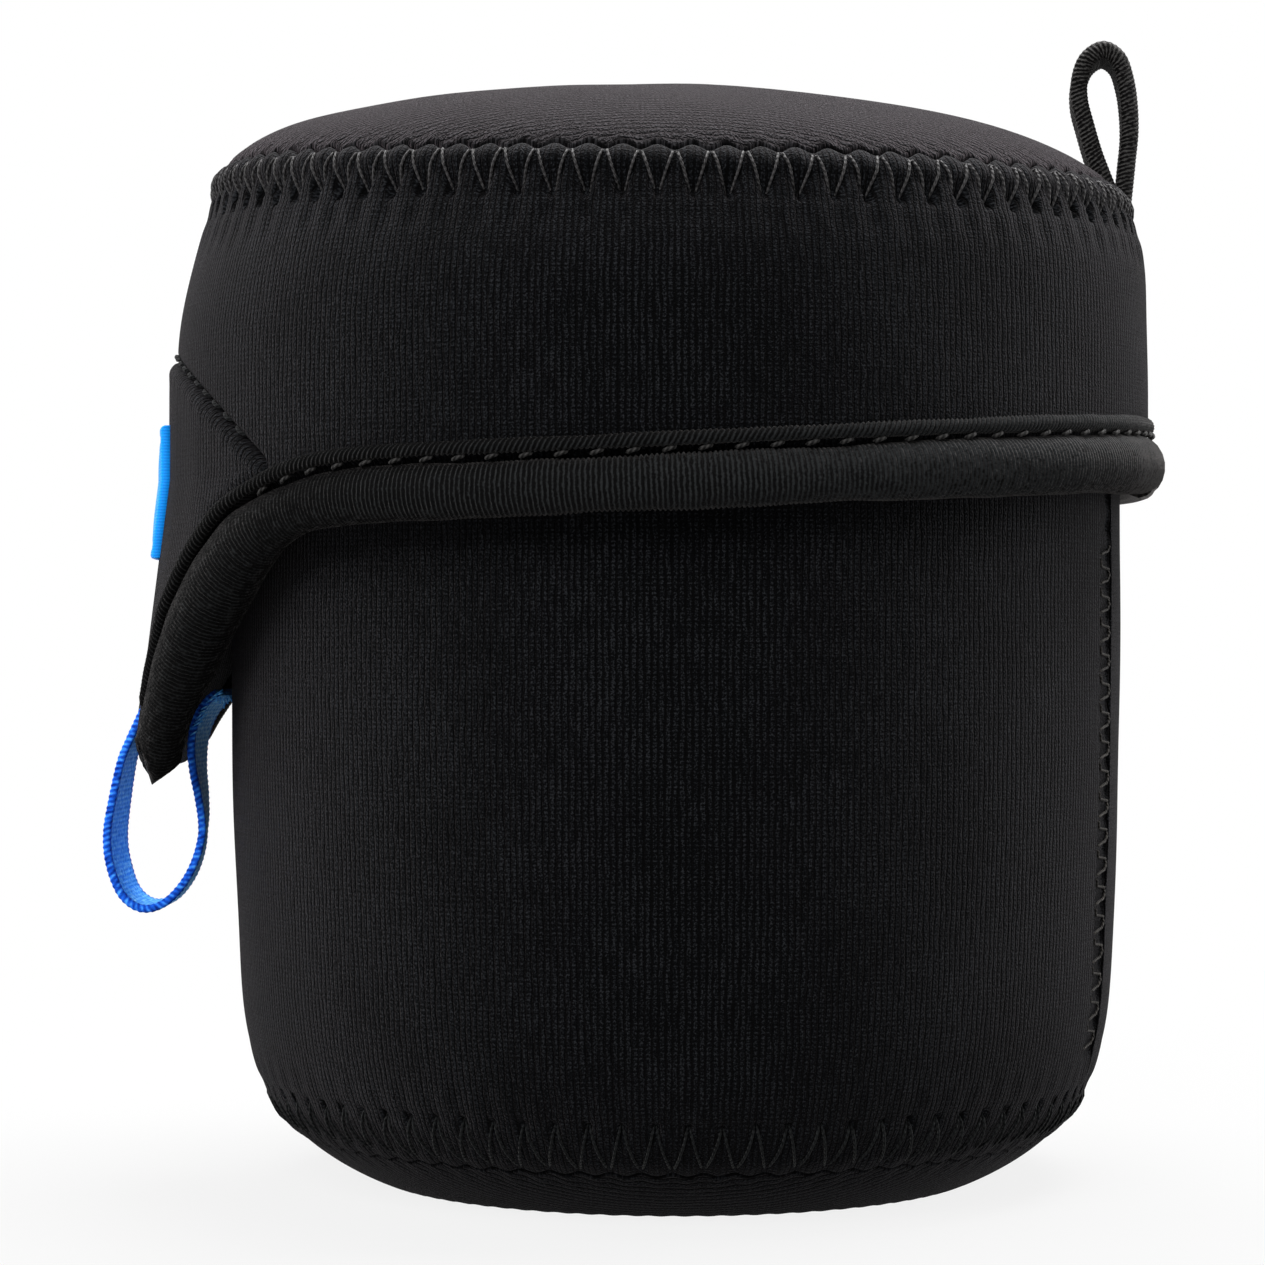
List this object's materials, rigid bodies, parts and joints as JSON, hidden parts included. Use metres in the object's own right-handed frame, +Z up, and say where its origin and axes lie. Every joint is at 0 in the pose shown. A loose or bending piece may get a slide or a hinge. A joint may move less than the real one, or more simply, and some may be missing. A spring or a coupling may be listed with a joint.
{
  "type": "lens pouch",
  "caption": "Round soft neoprene lens pouch with a domed flip-back lid, bound hem, front pull tongue with ribbon loop, and a hanging loop at the rear.",
  "frame": {"origin": "centre of the flat base that the pouch stands on", "axes": "+Z up along the pouch's axis, -X to the pull tongue, +X to the hinge"},
  "size_m": [0.1134, 0.1076, 0.1213],
  "materials": {
    "neoprene": "matt jersey-faced neoprene with a fine vertical knit",
    "lining": "soft brushed pile",
    "binding": "ribbed stretch binding",
    "thread": "twisted polyester sewing thread",
    "webbing": "coarse woven webbing",
    "blue_ribbon": "satin-edged grosgrain ribbon",
    "blue_label": "bare sewn patch"
  },
  "bodies": {
    "pouch": {"body_wall": "neoprene", "bottom_panel": "neoprene", "body_lining": "lining", "mouth_binding": "binding", "bottom_seam_thread": "thread", "rear_seam_thread": "thread", "hinge_strip_body": "binding"},
    "lid": {"lid_band": "neoprene", "lid_band_lining": "lining", "lid_top_panel": "neoprene", "lid_top_lining": "lining", "lid_top_seam_thread": "thread", "tongue_panel": "neoprene", "tongue_facing": "neoprene", "tongue_seam_thread": "thread", "hem_roll": "binding", "hem_piping": "binding", "hem_topstitch": "thread", "front_label": "blue_label", "label_stitch": "thread", "hanging_loop_root": "webbing", "hinge_strip_lid": "binding"},
    "tongue_tip": {"tongue_tip_panel": "neoprene", "tongue_tip_facing": "neoprene", "tongue_tip_roll_near": "binding", "tongue_tip_roll_far": "binding", "tongue_tip_piping_near": "binding", "tongue_tip_piping_far": "binding", "pull_loop_outer_end": "blue_ribbon", "pull_loop_inner_end": "blue_ribbon", "pull_loop_outer_tack": "thread", "pull_loop_inner_tack": "thread"},
    "pull_loop": {"pull_loop": "blue_ribbon"},
    "hanging_loop": {"hanging_loop": "webbing"}
  },
  "joints": [
    {"name": "lid_hinge", "type": "hinge", "parent": "pouch", "child": "lid", "pos_m": [0.05005, 0, 0.072], "axis": [0, 1, 0], "range_deg": [0, 160]},
    {"name": "tongue_lift", "type": "hinge", "parent": "lid", "child": "tongue_tip", "pos_m": [-0.0564, 0, 0.058], "axis": [0, 1, 0], "range_deg": [0, 60], "stiffness_Nm_per_rad": 0.002},
    {"name": "pull_loop_swing", "type": "hinge", "parent": "tongue_tip", "child": "pull_loop", "pos_m": [-0.0602, 0, 0.0422], "axis": [0, 1, 0], "range_deg": [0, 45]},
    {"name": "hanging_loop_bend", "type": "hinge", "parent": "lid", "child": "hanging_loop", "pos_m": [0.04593, 0, 0.1093], "axis": [0, 1, 0], "range_deg": [-40, 60], "stiffness_Nm_per_rad": 0.002}
  ]
}
